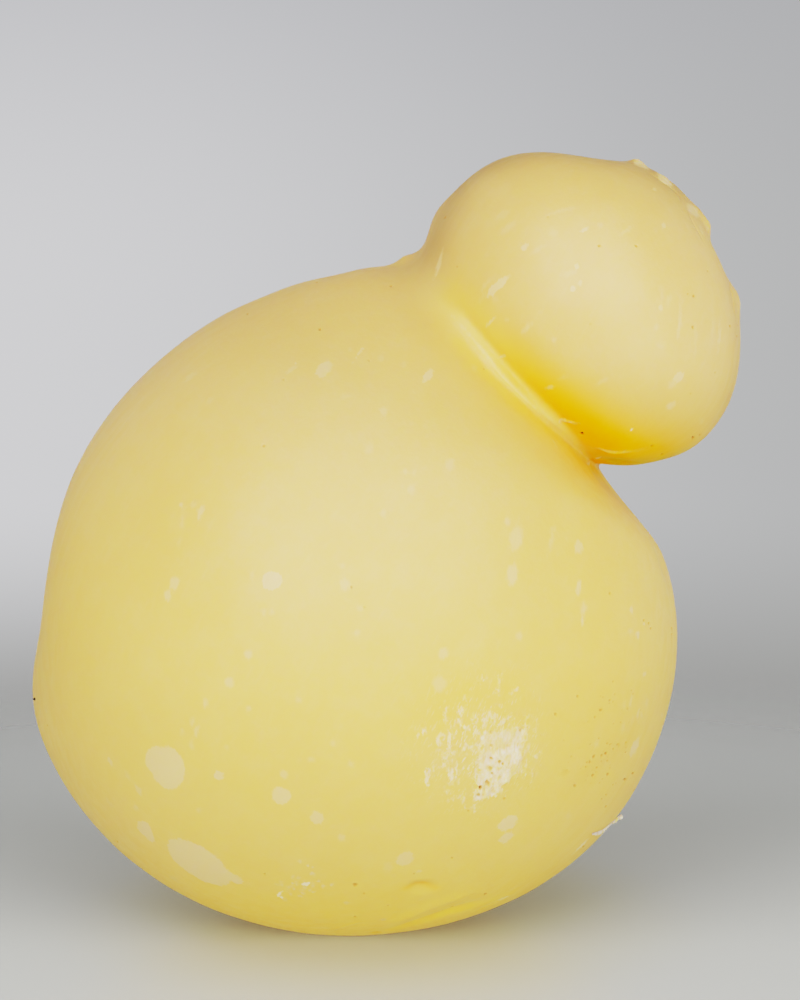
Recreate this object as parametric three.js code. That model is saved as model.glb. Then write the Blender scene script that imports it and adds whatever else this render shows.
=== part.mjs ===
// Caciocavallo, a stretched-curd cheese: a round body drawn in to a neck, with a smaller head above it.
// It stands on a flat spot that its own weight has pressed into the base, and its head hangs over to one side.
// Millimetres, +Z up, the head towards +X, the front towards -Y.
// The origin is under the middle of the cheese, on the surface that it stands on.

import * as THREE from "three";

// Body, head and neck, as turned about one straight axis
const BODY_RADIUS = 72.7;
const BODY_BELOW = 71.6; // from the body's widest ring down to its base
const HEAD_RADIUS = 37.7;
const HEAD_ABOVE = 29.8; // from the head's widest ring up to its crown
const HEAD_DISTANCE = 89.6; // from the body's widest ring to the head's
const NECK_GROOVE = 2; // radius at the bottom of the groove round the neck

// Stance, in degrees and millimetres
const BODY_LEAN = 30.5; // how far the body's axis leans over to +X
const NECK_BEND = 24.4; // how much further the head hangs over
const NECK_NOD = 7; // how far the head also tips to the front
const BEND_BELOW = 19.1; // how far down the shoulder the bend begins
const BEND_ABOVE = 11.6; // how far up the head it ends
const PRESSED_DEPTH = 3.3; // how far the body's middle sinks below its radius, which flattens the base
const PRESSED_EDGE = 0.5; // height over which the flat spot rounds up into the base

// Soft swellings and dents. Each lies in one direction from the middle of the body or head: turn is about +Z
// from +X, tilt is above the horizon, reach is how far it spreads, all in degrees, and rise is its height.
const BODY_RELIEF = [
  { name: "hollow of the left flank", turn: 180, tilt: 3.3, reach: 17.9, rise: -4.5 },
  { name: "bulge under that hollow", turn: 180, tilt: -13, reach: 14.5, rise: 3.3 },
  { name: "full left side of the base", turn: 180, tilt: -36.5, reach: 26, rise: 3 },
  { name: "flat above the hollow", turn: 180, tilt: 27, reach: 22, rise: -1.3 },
  { name: "high left shoulder", turn: 180, tilt: 73, reach: 14, rise: 2 },
  { name: "dip where the shoulder meets the neck", turn: 0, tilt: 89.7, reach: 9.7, rise: -0.4 },
  { name: "sunken right shoulder", turn: 0, tilt: 24.9, reach: 21.9, rise: -3 },
  { name: "full right side of the base", turn: 0, tilt: -44, reach: 33, rise: 1.3 },
  { name: "facet beside the flat spot", turn: -55, tilt: -68.7, reach: 28, rise: -1.5 },
  { name: "flat of the back", turn: 75, tilt: 18, reach: 30, rise: -1.6 },
  { name: "bulge low on the back", turn: 120, tilt: -22, reach: 26, rise: 1.3 },
];
const HEAD_RELIEF = [
  { name: "full left side of the crown", turn: 180, tilt: 44.6, reach: 26.7, rise: 1.4 },
  { name: "dip of the crown", turn: 180, tilt: 84.7, reach: 24.5, rise: -3.4 },
  { name: "knob at the edge of the seal", turn: 0, tilt: 62, reach: 21, rise: 1.9 },
  { name: "corner of the seal", turn: 0, tilt: 35.6, reach: 10.2, rise: 1.1 },
  { name: "dip beside the seal", turn: 0, tilt: 20.5, reach: 12.6, rise: -1.4 },
  { name: "lump below the seal", turn: 0, tilt: 2.7, reach: 12.4, rise: 0.8 },
  { name: "hollow over the neck", turn: 0, tilt: -80, reach: 14, rise: -1 },
  { name: "full underside", turn: 0, tilt: -37, reach: 21, rise: 1.3 },
  { name: "flat of the back", turn: 80, tilt: 25, reach: 28, rise: -0.9 },
];

// Fineness of the surface
const SEGMENTS = 72;
const RINGS = { base: 24, flank: 18, groove: 5, cheek: 8, crown: 11 };
const CROWDING = 1.6; // how much closer the rings come together towards the groove

// The groove's centre in the lathe profile: it touches the body's circle and the head's from outside.
function grooveCentre() {
  const toBody = BODY_RADIUS + NECK_GROOVE;
  const toHead = HEAD_RADIUS + NECK_GROOVE;
  const height = (toBody ** 2 - toHead ** 2 + HEAD_DISTANCE ** 2) / (2 * HEAD_DISTANCE);
  return new THREE.Vector2(Math.sqrt(toBody ** 2 - height ** 2), height);
}

const GROOVE = grooveCentre();
const HEAD_MIDDLE = new THREE.Vector3(0, 0, HEAD_DISTANCE);
const BODY_MIDDLE = new THREE.Vector3();

// The axes to tip a point about: towards +X, and towards the front.
const SIDEWAYS = new THREE.Vector3(0, 1, 0);
const FORWARD = new THREE.Vector3(1, 0, 0);

// How the points of an arc are spread along it: evenly, or crowded towards its end or its start.
const evenly = (t) => t;
const crowdedAtEnd = (t) => 1 - (1 - t) ** CROWDING;
const crowdedAtStart = (t) => t ** CROWDING;

// One arc of the profile, centred at (x, y).
function arc(x, y, width, height, from, to, steps, spread = evenly) {
  const curve = new THREE.EllipseCurve(x, y, width, height, from, to, to < from);
  return Array.from({ length: steps + 1 }, (_, i) => curve.getPoint(spread(i / steps)));
}

// The profile from the base to the crown, in (radius, height) from the middle of the body.
function profile() {
  const bodyEnd = Math.atan2(GROOVE.y, GROOVE.x);
  const headStart = Math.atan2(GROOVE.y - HEAD_DISTANCE, GROOVE.x);
  const quarter = Math.PI / 2;
  const arcs = [
    arc(0, 0, BODY_RADIUS, BODY_BELOW, -quarter, 0, RINGS.base),
    arc(0, 0, BODY_RADIUS, BODY_RADIUS, 0, bodyEnd, RINGS.flank, crowdedAtEnd),
    arc(GROOVE.x, GROOVE.y, NECK_GROOVE, NECK_GROOVE, Math.PI + bodyEnd, Math.PI + headStart, RINGS.groove),
    arc(0, HEAD_DISTANCE, HEAD_RADIUS, HEAD_RADIUS, headStart, 0, RINGS.cheek, crowdedAtStart),
    arc(0, HEAD_DISTANCE, HEAD_RADIUS, HEAD_ABOVE, 0, quarter, RINGS.crown),
  ];
  return arcs.flatMap((points, i) => (i ? points.slice(1) : points));
}

// How much of the neck's bend a point at this height along the straight axis takes, from 0 to 1.
function bendShare(height) {
  return THREE.MathUtils.smoothstep(height, GROOVE.y - BEND_BELOW, GROOVE.y + BEND_ABOVE);
}

// Tips a point over, about a point at this height on the straight axis.
function tip(point, axis, degrees, pivotHeight) {
  point.z -= pivotHeight;
  point.applyAxisAngle(axis, THREE.MathUtils.degToRad(degrees));
  point.z += pivotHeight;
  return point;
}

// Takes a point of the straight shape to its place on the leaning body or the bent head.
function bent(point) {
  const share = bendShare(point.z);
  tip(point, SIDEWAYS, NECK_BEND * share, GROOVE.y);
  tip(point, FORWARD, NECK_NOD * share, GROOVE.y);
  return tip(point, SIDEWAYS, BODY_LEAN, 0);
}

// The unit vector of a swelling's direction.
function towards({ turn, tilt }) {
  const polar = THREE.MathUtils.degToRad(90 - tilt);
  const around = THREE.MathUtils.degToRad(turn);
  const { sin, cos } = Math;
  return new THREE.Vector3(sin(polar) * cos(around), sin(polar) * sin(around), cos(polar));
}

// Moves a point out from the middle by every swelling that reaches it.
function swell(point, middle, relief, share) {
  const outward = point.clone().sub(middle).normalize();
  const rise = relief.reduce((sum, swelling) => {
    const angle = THREE.MathUtils.radToDeg(outward.angleTo(towards(swelling)));
    return sum + swelling.rise * Math.exp(-((angle / swelling.reach) ** 2));
  }, 0);
  return point.addScaledVector(outward, rise * share);
}

// Height above the surface after the base is pressed flat: 0 on the flat spot, rounding up at its edge.
function pressed(height) {
  if (height >= PRESSED_EDGE) return height;
  if (height <= -PRESSED_EDGE) return 0;
  return (height + PRESSED_EDGE) ** 2 / (4 * PRESSED_EDGE);
}

function cheeseGeometry() {
  const geometry = new THREE.LatheGeometry(profile(), SEGMENTS).rotateX(Math.PI / 2);
  const position = geometry.getAttribute("position");
  const headMiddle = bent(HEAD_MIDDLE.clone());
  const point = new THREE.Vector3();
  for (let i = 0; i < position.count; i++) {
    point.fromBufferAttribute(position, i);
    const share = bendShare(point.z);
    bent(point);
    swell(point, BODY_MIDDLE, BODY_RELIEF, 1 - share);
    swell(point, headMiddle, HEAD_RELIEF, share);
    point.z = pressed(point.z + BODY_RADIUS - PRESSED_DEPTH);
    position.setXYZ(i, point.x, point.y, point.z);
  }
  geometry.computeVertexNormals();
  geometry.computeBoundingBox();
  const middle = geometry.boundingBox.getCenter(new THREE.Vector3());
  return geometry.translate(-middle.x, -middle.y, -geometry.boundingBox.min.z);
}

const rind = new THREE.MeshStandardMaterial({ color: 0xe0cb83, roughness: 0.45, metalness: 0 });

const cheese = new THREE.Mesh(cheeseGeometry(), rind);
cheese.name = "cheese";

const caciocavallo = new THREE.Group();
caciocavallo.add(cheese);

export default caciocavallo;
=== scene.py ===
"""The looks of a caciocavallo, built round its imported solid: fine surface, marks, rind, light and camera."""

import math
from collections import namedtuple

import bmesh
import bpy
import numpy as np
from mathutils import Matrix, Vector, noise
from mathutils.bvhtree import BVHTree
from mathutils.kdtree import KDTree


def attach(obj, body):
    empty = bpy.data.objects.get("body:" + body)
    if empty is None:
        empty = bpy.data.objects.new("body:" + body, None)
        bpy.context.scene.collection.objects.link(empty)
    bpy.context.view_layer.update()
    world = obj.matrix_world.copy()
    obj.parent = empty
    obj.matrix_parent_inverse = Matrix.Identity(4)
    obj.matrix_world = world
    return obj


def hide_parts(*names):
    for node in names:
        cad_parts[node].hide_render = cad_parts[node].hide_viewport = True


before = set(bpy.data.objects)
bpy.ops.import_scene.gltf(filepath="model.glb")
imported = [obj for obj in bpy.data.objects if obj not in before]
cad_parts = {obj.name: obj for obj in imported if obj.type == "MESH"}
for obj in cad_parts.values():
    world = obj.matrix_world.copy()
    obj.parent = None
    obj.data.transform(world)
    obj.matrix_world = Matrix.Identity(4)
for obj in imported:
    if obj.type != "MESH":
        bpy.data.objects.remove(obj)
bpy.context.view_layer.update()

Place = namedtuple("Place", "point across up")  # a point of the surface in mm, and the view's axes along it
Site = namedtuple("Site", "point reach spacing")  # where the mesh is refined, in mm
Mark = namedtuple("Mark", "place width height amount lean", defaults=(0,))  # an oval, in mm and degrees
Line = namedtuple("Line", "name reach rise ends pixels from_neck", defaults=(False,))
Bump = namedtuple("Bump", "name pixel reach rise from_neck", defaults=(False,))
Tint = namedtuple("Tint", "name reach amount pixels")
Pattern = namedtuple("Pattern", "wavelength detail low high start end roughness", defaults=(0.5,))
Light = namedtuple("Light", "name turn height distance size brightness glossy only", defaults=(False, ()))

MM = 0.001
FINENESS = 1  # times the solid's faces are split in four
SAME_POINT = 0.001 * MM  # corners of the solid closer than this are one
SEED = 7

# The photo's view: where the camera looks, from how far and how high, for a picture of this many pixels
PICTURE = (800, 1000)
LOOK_AT = Vector((3.7, 0, 96)) * MM
DISTANCE = 540 * MM
ELEVATION = math.radians(6)
FOCAL_PIXELS = 2400
PIXELS_PER_MM = FOCAL_PIXELS * MM / DISTANCE
SENSOR = 36  # mm along the picture's longer side
FORWARD = Vector((0, math.cos(ELEVATION), -math.sin(ELEVATION)))
RIGHT = Vector((1, 0, 0))
UPWARD = RIGHT.cross(FORWARD)
EYE = LOOK_AT - FORWARD * DISTANCE
DEPTHS = range(-90, 91, 2)  # mm from DISTANCE at which a pixel beside the cheese looks for it
MOST_STRETCH = 2  # of a mark where the surface turns away from the eye

# The cheese's own form, in mm
BODY_MIDDLE = Vector((-6.4, 0, 69.4))
HEAD_MIDDLE = Vector((46, -2.5, 140))
MIDDLES = (BODY_MIDDLE, HEAD_MIDDLE)
BODY_LEAN = math.radians(30.5)
AXIS = Vector((math.sin(BODY_LEAN), 0, math.cos(BODY_LEAN)))
NECK_DISTANCE = 67.1  # from the body's middle
NECK_MIDDLE = BODY_MIDDLE + AXIS * NECK_DISTANCE
NECK_LEAN, NECK_NOD = math.radians(47), math.radians(4.7)
NECK_AXIS = Vector((math.sin(NECK_LEAN), -math.sin(NECK_NOD), math.cos(NECK_LEAN))).normalized()
NECK_RADIUS = 30.4
NECK_RIGHT = NECK_AXIS.cross((0, -1, 0))

# How the neck's groove is rounded out: how far from it, how often and how strongly, the range of rightness
# over which it stays sharp, and the least share that counts
NECK_FILLET = {"reach": 6, "passes": 160, "strength": 0.6, "sharp": (0.75, 0.97), "least": 0.01}

# The rind's own unevenness: mean height, then height and wavelength of each wave, in mm
MEAN_RISE = 0.2
WAVES = [(0.1, 26), (0.055, 8)]

# Where the mesh is refined: passes, and the margin of the first one in mm. Its spacing is a share of a mark's
# width, within limits, or of the reach of a line or bump. FLANK is how many reaches it goes out to.
REFINE_PASSES, REFINE_MARGIN = 4, 2
MARK_SPACING, MARK_LIMITS = 0.4, (0.28, 0.8)
LINE_SPACING, LINE_LIMIT = 0.5, 0.3
BUMP_SPACING = 0.4
FLANK = 1.5
STROKE_SPACING, STROKE_MARGIN = 0.38, 0.5  # mm

OUTSIDE = -1.0  # mm inside a mark that count as far from it
MARK_MARGIN = 2  # mm round a mark where its depth is worked out

# Spots of dried brine that show in the photo, and a few painted highlights on the neck's roll: pixel, width
# and height in mm as seen, how pale it is, and how many degrees the height leans over to the right, if it does
SPOTS = [
    # Low on the left
    (168, 768, 7.4, 9.2, 0.78), (159, 761, 6, 6.4, 0.78), (199, 863, 8.1, 15.3, 0.9, -55),
    (228, 873, 1.4, 3, 0.85, -55), (237, 879, 2.2, 2.9, 0.85, -65), (145, 828, 3.2, 3.9, 0.9, -25),
    (149, 834, 2.2, 4, 0.9, -30), (174, 878, 1.1, 2.2, 0.5, -55), (111, 761, 1.1, 1.9, 0.8, -25),
    (128, 775, 0.8, 1.8, 0.4, -25), (139, 790, 1.2, 2.2, 0.7, -30), (137, 807, 0.9, 1.3, 0.6, -20),
    (110, 802, 0.8, 1.4, 0.4, -30), (47, 711, 0.6, 1, 0.9, -5), (41, 710, 0.7, 2.4, 0.6, -12),
    (219, 775, 2, 2, 0.8), (281, 795, 3.8, 3.9, 0.7), (284, 774, 1.5, 1.8, 0.5), (317, 817, 2.6, 3, 0.7),
    (342, 837, 1.4, 1.5, 0.5), (199, 810, 0.9, 0.9, 0.4), (311, 759, 1.4, 1.1, 0.35),
    (333, 743, 1.1, 1.1, 0.35), (351, 764, 1.1, 1.4, 0.35), (347, 902, 0.7, 1.2, 0.7, 80),
    (306, 883, 1, 1.6, 1, 80), (280, 893, 0.7, 1.6, 1, 30), (282, 896, 0.6, 1.1, 1, -40),
    (332, 884, 0.7, 1, 0.8, 60),
    # Low in the middle and on the right
    (405, 858, 3.2, 3.8, 0.7, 60), (388, 866, 2, 2.4, 0.25), (418, 871, 0.8, 1.3, 0.7, 60),
    (507, 823, 2.9, 4.6, 0.88, 60), (506, 837, 2, 3.4, 0.82, 55), (568, 815, 1.1, 1.6, 0.35),
    (580, 846, 0.9, 3.6, 0.97, 45), (383, 919, 0.5, 1.2, 0.8, 80), (502, 898, 0.6, 2.6, 1, 65),
    (324, 933, 0.5, 0.5, 1), (377, 931, 0.6, 0.9, 0.9, 60), (466, 919, 0.5, 0.6, 1),
    # Middle and left
    (272, 581, 3.6, 4.1, 0.9, 60), (345, 585, 1.8, 2.5, 0.5), (343, 566, 1.1, 1.1, 0.3),
    (252, 576, 0.7, 1.4, 0.35), (175, 583, 1.8, 2.5, 0.6), (168, 596, 1.3, 2.2, 0.7),
    (201, 512, 1.1, 2.9, 0.7, 20), (183, 520, 0.6, 2.8, 0.4, 3), (182, 505, 0.7, 0.8, 0.7),
    (194, 505, 1, 1.2, 0.3, 20), (180, 542, 0.5, 2, 0.3, 10), (249, 654, 1.4, 1.6, 0.6),
    (230, 682, 1.8, 2, 0.55), (206, 703, 0.8, 1.8, 0.6, 10), (193, 722, 0.8, 1.6, 0.5, 10),
    (197, 731, 1, 2, 0.6, 10), (183, 731, 0.7, 1.2, 0.4), (192, 745, 0.7, 1.5, 0.4),
    (249, 708, 0.9, 1, 0.4), (299, 700, 0.9, 1, 0.35), (227, 747, 0.8, 0.8, 0.3), (443, 653, 2, 2.3, 0.5),
    (439, 684, 2.7, 3.1, 0.4), (264, 612, 0.9, 1.1, 0.35), (272, 612, 0.9, 1.1, 0.35),
    (360, 608, 0.9, 1, 0.3), (357, 633, 1.1, 1.4, 0.35, 45),
    # Shoulder
    (324, 370, 2.6, 4, 0.8, 45), (428, 376, 1.6, 3.1, 0.85, 40), (296, 364, 0.7, 0.9, 0.9),
    (292, 370, 0.8, 2, 0.6, 55), (359, 354, 0.5, 2.6, 0.8, 35), (350, 350, 0.7, 0.9, 0.5),
    (190, 378, 1.2, 2.8, 0.5, 45), (211, 401, 1, 1.6, 0.3, 45), (345, 397, 1, 2.6, 0.35, 75),
    (383, 412, 1.3, 1.6, 0.6), (381, 359, 1, 1.2, 0.4), (404, 365, 0.8, 1, 0.35),
    (369, 448, 1.8, 2.6, 0.3, 20), (405, 472, 1.3, 1.4, 0.4), (414, 472, 0.9, 1, 0.3),
    (411, 490, 1.5, 1.8, 0.35), (450, 465, 1.8, 2.3, 0.4), (383, 513, 1, 1.3, 0.4),
    # Right of the body
    (516, 538, 2.5, 5, 0.52, 15), (512, 575, 2.2, 4.4, 0.6, 5), (507, 522, 1.2, 1.6, 0.5),
    (551, 540, 0.8, 4, 0.45, 10), (578, 547, 1.7, 2.8, 0.65), (578, 587, 1.1, 2.7, 0.7, 8),
    (583, 609, 1.1, 2.2, 0.5, 5), (582, 621, 0.7, 1.8, 0.65), (519, 636, 1.2, 1.4, 0.4),
    (631, 610, 0.7, 1.3, 0.7), (637, 635, 0.8, 1.4, 0.75), (643, 624, 0.6, 0.7, 0.9),
    (644, 674, 0.9, 1.1, 0.7, 80), (630, 631, 0.7, 1, 0.35), (661, 715, 0.8, 1.9, 0.6, 12),
    (634, 746, 1.7, 4, 0.88, 22), (596, 744, 1, 1.5, 0.4, 20), (622, 728, 0.7, 1.5, 0.35, 5),
    (623, 706, 0.5, 1.6, 0.5), (630, 702, 0.5, 2, 0.6, 10), (637, 714, 0.6, 1.4, 0.7, 20),
    (641, 715, 0.5, 1.2, 0.6, -15), (646, 702, 0.6, 2, 0.5, 8), (632, 718, 0.5, 1.3, 0.4, 15),
    # Crest of the neck's roll: painted highlights, thin streaks of gloss along it and its wrinkles
    (487, 355, 0.5, 13, 0.5, -40), (520, 392, 0.45, 8.5, 0.5, -46), (553, 422, 0.5, 12, 0.4, -46),
    (569, 421.5, 0.5, 3.6, 0.85, 98), (616, 450.5, 0.45, 6.3, 0.6, 95),
    # Head
    (498, 286, 1.7, 5.8, 0.9, 45), (486, 285, 0.6, 2.6, 0.45, 40), (482, 298, 0.6, 2, 0.3, 35),
    (495, 299, 1, 1.4, 0.35), (491, 322, 0.8, 2.2, 0.85, 40), (507, 320, 0.6, 0.7, 0.5),
    (527, 328, 0.8, 2.5, 0.55, 45), (503, 215, 1.4, 3, 0.35, 55), (508, 228, 1.4, 3.4, 0.35, 50),
    (525, 247, 1.2, 1.9, 0.8, 60), (538, 250, 0.9, 2.4, 0.35, 60), (562, 211, 0.7, 4.4, 0.45, 72),
    (584, 230, 0.8, 2, 0.9, 62), (600, 226, 1, 1.1, 0.4), (554, 233, 1, 1.8, 0.3, 50),
    (626, 231, 0.8, 2.4, 0.55, 50), (663, 226, 1.1, 1.5, 0.8, 30), (654, 190, 0.7, 0.9, 0.8, 60),
    (577, 267, 0.9, 1.1, 0.9), (569, 274, 1.1, 2.8, 0.4, 65), (580, 283, 0.8, 0.9, 0.7),
    (573, 289, 1.2, 1.3, 0.9, 30), (660, 308, 0.9, 1.6, 0.9, 8), (661, 296, 0.5, 2.6, 0.4, 5),
    (656, 327, 1, 1, 0.5), (679, 322, 0.7, 6.4, 0.6, 7), (668, 300, 0.8, 1.8, 0.4, 10),
    (712, 328, 0.6, 4.4, 0.35, 3), (719, 336, 0.6, 4.4, 0.7, 3), (695, 338, 0.5, 4, 0.35),
    (661, 345, 1.6, 1.8, 0.3, 40), (678, 377, 1.9, 3, 0.8, 45), (672, 383, 1.3, 2.4, 0.5, 45),
    (670, 405, 1.2, 2, 0.65, 55), (701, 420, 1, 1.1, 0.35), (554, 339, 0.9, 0.9, 0.5),
    (440, 264, 0.7, 5.4, 0.75, 14), (502, 357, 0.7, 1.2, 0.9, 70), (474, 369, 1.1, 1.8, 0.4, -20),
    (550, 387, 0.8, 1.6, 0.8, 80), (563, 377, 0.7, 1.4, 0.4, 75), (603, 380, 0.5, 1.8, 0.4, 60),
    # The last spot on the next line, under the head, is a painted highlight
    (738, 373, 0.8, 1.4, 1), (588, 464, 0.6, 0.9, 1, 60), (631, 429, 0.5, 0.7, 1, 80),
    # Seal
    (641, 167, 2.2, 3.8, 0.8, -60), (664, 180, 2.3, 4.4, 0.75, -52), (692, 211, 2.3, 3.8, 0.7, -40),
    (701, 233, 0.7, 1.4, 0.8, -35),
]

# Crumbs of brine low on the body: pixel, spread in mm, count, then ranges of width in mm and of paleness
FLECKS = {"pixel": (303, 886), "spread": (6.4, 4.4), "count": 34, "width": (0.5, 0.9), "amount": (0.4, 0.9)}

# Spots out of the photo's view: count on the body and the head, least width in mm, shape and scale of what is
# added to it, height by width, spread of the lean in degrees, and range of paleness
HIDDEN_SPOTS = {
    "counts": (60, 18), "least": 0.8, "added": (1.2, 0.9), "slenderness": (1, 2.4), "lean": 15,
    "amount": (0.3, 0.9),
}
CLEAR_OF_FLOOR = 2  # mm from the floor to the lowest of them

# Pinholes: pixel, width in mm and how dark
PINHOLES = [
    (599, 246, 0.6, 0.8), (636, 246, 0.6, 0.7), (548, 217, 0.5, 0.3), (446, 218, 0.6, 0.5),
    (458, 267, 0.6, 0.3), (707, 271, 0.5, 0.5), (693, 296, 0.6, 0.8), (687, 294, 0.5, 0.4),
    (692, 327, 0.6, 0.8), (729, 326, 0.6, 0.7), (737, 325, 0.5, 0.8), (736, 336, 0.6, 0.7),
    (714, 372, 0.5, 0.3), (690, 393, 0.5, 0.3), (691.5, 436, 0.6, 1), (698, 433, 0.5, 0.5),
    (651, 445, 0.6, 0.6), (661, 453, 0.6, 0.6), (582, 433, 0.7, 1), (590, 324, 0.5, 0.3),
    (391, 287, 0.6, 0.7), (320, 330, 0.6, 0.9), (248, 315, 0.5, 0.6), (317, 283, 0.5, 0.6),
    (284, 380, 0.5, 0.4), (264, 446, 0.7, 0.4), (369, 361, 0.5, 0.4), (484, 369, 0.5, 0.5),
    (35.6, 699, 0.95, 1), (48.5, 725, 0.5, 0.4), (118, 841, 0.5, 0.7), (265, 873, 0.5, 0.6),
    (355, 884, 1, 0.6), (364, 893, 0.5, 0.6), (388, 905, 0.5, 0.5), (355, 916, 0.6, 0.6),
    (414, 873, 0.5, 0.5), (429, 915, 0.6, 0.6), (453, 909, 0.6, 0.9), (464, 903, 0.6, 0.5),
    (485, 893, 0.7, 0.6), (452, 857, 0.6, 0.4), (609, 593, 0.5, 0.5), (643, 620, 0.5, 0.7),
    (648, 623, 0.5, 0.8), (650, 628, 0.5, 0.7), (671, 628, 0.6, 0.9), (671, 634, 0.6, 0.8),
    (577, 696, 0.6, 0.5), (555, 714, 0.7, 0.5), (609, 700, 0.6, 0.5), (600, 710, 0.7, 0.6),
    (594, 717, 0.6, 0.4), (606, 743, 0.5, 0.6), (609, 744, 0.5, 0.5), (617, 744, 0.6, 0.6),
    (625, 742, 0.5, 0.6), (625, 747, 0.4, 0.5), (625, 752, 0.5, 0.7), (605, 753, 0.8, 0.8),
    (601, 755, 0.6, 0.6), (593, 756, 0.7, 0.6), (589, 762, 0.6, 0.6), (586, 762, 0.5, 0.5),
    (596, 767, 0.6, 0.6), (592, 775, 0.7, 0.7), (607, 774, 0.7, 0.7), (624, 779, 0.7, 1),
    (632, 773, 0.7, 0.8), (612, 784, 0.5, 0.4), (605, 794, 0.5, 0.6), (601, 798, 0.5, 0.6),
    (605, 806, 0.6, 0.6), (574, 785, 0.8, 0.4), (583, 846, 0.6, 0.6), (634, 789, 0.8, 0.9),
    # Rind left in the scraped patch
    (491, 758, 0.7, 0.6), (499, 761, 0.8, 0.7), (502, 763, 0.7, 0.7), (490, 768, 0.9, 0.5),
    (492, 773, 0.7, 0.6), (487, 782, 1, 0.7), (480, 787, 0.9, 0.9), (478, 794, 0.9, 0.6),
    (520, 730, 0.9, 0.5), (491, 732, 0.7, 0.4), (491, 745, 0.7, 0.4), (504, 798, 0.7, 0.4),
    (468, 810, 0.6, 0.4),
]

# Clusters of finer pinholes in the rough of the right side: pixel, spread in mm and count
SPECKS = [
    {"pixel": (606, 762), "spread": (8, 9), "count": 34},
    {"pixel": (622, 708), "spread": (6, 6), "count": 16},
]
SPECK = {"width": (0.35, 0.5), "amount": (0.2, 0.6)}  # ranges of width in mm and of darkness
HIDDEN_PINHOLES = {"counts": (40, 14), "width": (0.5, 0.8), "amount": (0.4, 0.9)}
PINHOLE_EDGE = (-0.02, 0.2)  # mm inside a pinhole over which it falls off
PINHOLE_DEPTH = 0.35  # mm
CLUSTERED = 0.5  # how much of a cluster's spread its normal distribution takes

# Strokes of the scraped patch: start and end pixel, width in mm and how white
SCRAPES = [
    # Core
    (486, 759, 513, 756, 5.2, 1), (485, 777, 504, 774, 4.6, 1), (482, 792, 494, 789, 4, 0.95),
    (490, 741, 517, 736, 4.4, 0.75), (514, 746, 511, 772, 2.8, 0.9), (521, 744, 519, 770, 1.8, 0.6),
    # Torn edges left of the core
    (485, 733, 479, 745, 0.9, 1), (479, 745, 476, 763, 0.9, 1), (476, 763, 475, 777, 0.9, 0.9),
    (455, 752, 473, 745, 1, 0.8), (445, 724, 446, 708, 0.8, 0.6), (449, 733, 449, 751, 1, 0.8),
    (439, 733, 438, 747, 1, 0.75), (444, 755, 445, 758, 1.4, 0.9), (448, 761, 452, 782, 1.4, 0.8),
    (456, 763, 456, 782, 0.9, 0.7), (442, 735, 452, 735, 0.8, 0.6), (462, 793, 465, 807, 0.9, 0.6),
    (446, 791, 447, 792, 1.1, 0.6), (473, 806, 475, 810, 1.1, 0.6), (450, 799, 460, 796, 0.8, 0.45),
    (427, 770, 428, 783, 1, 0.9), (423, 731, 424, 731, 1.1, 0.7), (417, 735, 418, 735, 0.8, 0.5),
    # Upper strokes
    (460, 712, 462, 710, 1.2, 0.9), (457, 722, 467, 729, 1.2, 0.85), (473, 715, 474, 722, 0.8, 0.9),
    (476, 729, 477, 733, 1.2, 0.85), (483, 717, 485, 724, 1.3, 0.9), (492, 716, 495, 720, 1.2, 0.9),
    (499, 724, 508, 717, 1, 0.9), (515, 728, 525, 725, 1.2, 1), (467, 705, 463, 712, 0.7, 0.6),
    (479, 679, 481, 679, 1.2, 0.7), (499, 673, 498, 690, 0.7, 0.6), (512, 693, 515, 689, 1.1, 0.5),
    (465, 697, 466, 700, 0.8, 0.6),
    # Right edge
    (526, 717, 525, 740, 0.7, 0.5), (527, 745, 525, 775, 0.9, 0.6), (535, 755, 539, 752, 0.9, 0.8),
    (531, 768, 532, 775, 0.7, 0.5),
]
SCRAPE_MIDDLE = (484, 748)  # pixel
SCRAPE_REACH = (12.5, 14)  # mm from the middle, across and up
SCRAPE_BORDER = 1.6  # how many reaches away the strokes still count
SCUFF_SPREAD = 0.8  # of the fine scratches, in reaches

# Loose fibres among the strokes: count, how much of the reach they scatter over, ranges of length and width
# in mm, mean and spread of their lean in radians, and range of whiteness
FIBRES = {
    "count": 90, "scatter": 0.42, "length": (0.4, 2.2), "width": (0.2, 0.45), "lean": (0.2, 0.5),
    "amount": (0.25, 0.75),
}

# Torn relief of the strokes: rise and wavelength in mm, stretch, octaves, offset and mean of its noise, and
# the depth inside a stroke, in mm, over which it sets in
TORN = {
    "rise": 0.4, "wavelength": 1.1, "stretch": (1, 1, 0.3), "octaves": 3, "offset": 40, "mean": 0.15,
    "edge": (-0.3, 0.5),
}

# The loose curl of rind at the lower right: its middle line in pixels with its width there in mm, then in mm
# its thickness and how far it stands off the surface, and how uneven its width is
SHAVING = {
    "pixels_and_widths": [
        (592, 834, 0.4), (598, 832, 1.5), (603.5, 829.5, 0.9), (608.5, 825, 0.6), (613, 821.7, 0.8),
        (618, 818.4, 0.95), (622.5, 815.8, 0.7),
    ],
    "thickness": 0.4, "lift": 0.3, "sides": 8, "ragged": (0.75, 1.25), "whiteness": 1.4,
}

# The crest of the neck's roll, in pixels
ROLL = [(448, 308), (467, 331), (488, 357), (509, 382), (531, 403), (552, 421), (573, 441), (586, 459)]

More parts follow.
